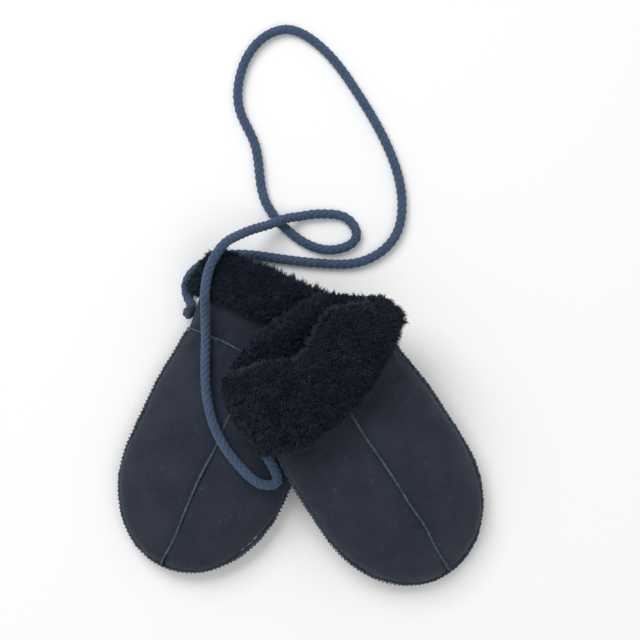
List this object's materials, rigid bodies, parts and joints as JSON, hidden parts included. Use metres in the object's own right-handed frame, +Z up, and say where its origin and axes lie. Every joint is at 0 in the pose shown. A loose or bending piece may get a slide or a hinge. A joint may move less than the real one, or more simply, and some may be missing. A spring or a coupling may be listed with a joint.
{
  "type": "pair of corded baby mittens",
  "caption": "Thumbless sheepskin mittens, suede outside and wool inside, with turned-back wool cuffs, joined by a long braided neck cord.",
  "frame": {"origin": "on the table, under the middle of the left mitten's palm", "axes": "+Z up out of the table, +X to the right and +Y away from the wearer's viewpoint, towards the cuffs and the long cord loop"},
  "size_m": [0.2152, 0.3382, 0.0836],
  "materials": {
    "suede": "dark navy napped suede",
    "wool": "very dark navy curled wool pile",
    "seam": "raw skin edge, lighter blue-grey, with stitches",
    "cord": "braided navy cord with a slight sheen",
    "thread": "navy sewing thread"
  },
  "bodies": {
    "left_mitten": {"left_back_panel_right_half": "suede", "left_back_panel_left_half": "suede", "left_back_wool_right_half": "wool", "left_back_wool_left_half": "wool", "left_palm_panel": "suede", "left_palm_wool": "wool", "left_centre_seam": "seam", "left_edge_seam": "seam", "left_wrist_seam": "seam", "left_cuff_band": "suede", "left_cuff_wool": "wool", "left_cuff_flap_suede_front": "suede", "left_cuff_flap_wool_front": "wool", "left_cuff_flap_suede_palm": "suede", "left_cuff_flap_wool_palm": "wool", "cord_left_end": "cord", "left_cord_whipping": "thread"},
    "cord": {"cord_cross_run": "cord", "cord_short_loop": "cord"},
    "cord_loop": {"cord_long_loop": "cord"},
    "right_mitten": {"right_back_panel_right_half": "suede", "right_back_panel_left_half": "suede", "right_back_wool_right_half": "wool", "right_back_wool_left_half": "wool", "right_palm_panel": "suede", "right_palm_wool": "wool", "right_centre_seam": "seam", "right_edge_seam": "seam", "right_wrist_seam": "seam", "right_cuff_band": "suede", "right_cuff_wool": "wool", "right_cuff_flap_suede_palm": "suede", "right_cuff_flap_wool_palm": "wool", "cord_right_end": "cord", "right_cord_whipping": "thread"},
    "right_cuff_turn": {"right_cuff_flap_suede_front": "suede", "right_cuff_flap_wool_front": "wool"}
  },
  "joints": [
    {"name": "cord_left_twist", "type": "hinge", "parent": "left_mitten", "child": "cord", "pos_m": [-0.016, 0.1033, 0.0031], "axis": [0, -1, 0], "range_deg": [0, 11.5]},
    {"name": "cord_loop_lift", "type": "hinge", "parent": "cord", "child": "cord_loop", "pos_m": [0.0725, 0.1563, 0.0031], "axis": [1, 0, 0], "range_deg": [0, 45]},
    {"name": "cord_right_twist", "type": "hinge", "parent": "cord", "child": "right_mitten", "pos_m": [0.0675, 0.148, 0.0031], "axis": [-1, 0, 0], "range_deg": [0, 50]},
    {"name": "right_cuff_unroll", "type": "hinge", "parent": "right_mitten", "child": "right_cuff_turn", "pos_m": [0.05473, 0.06724, 0.07683], "axis": [-0.825, -0.5628, 0.0523], "range_deg": [0, 150]}
  ]
}
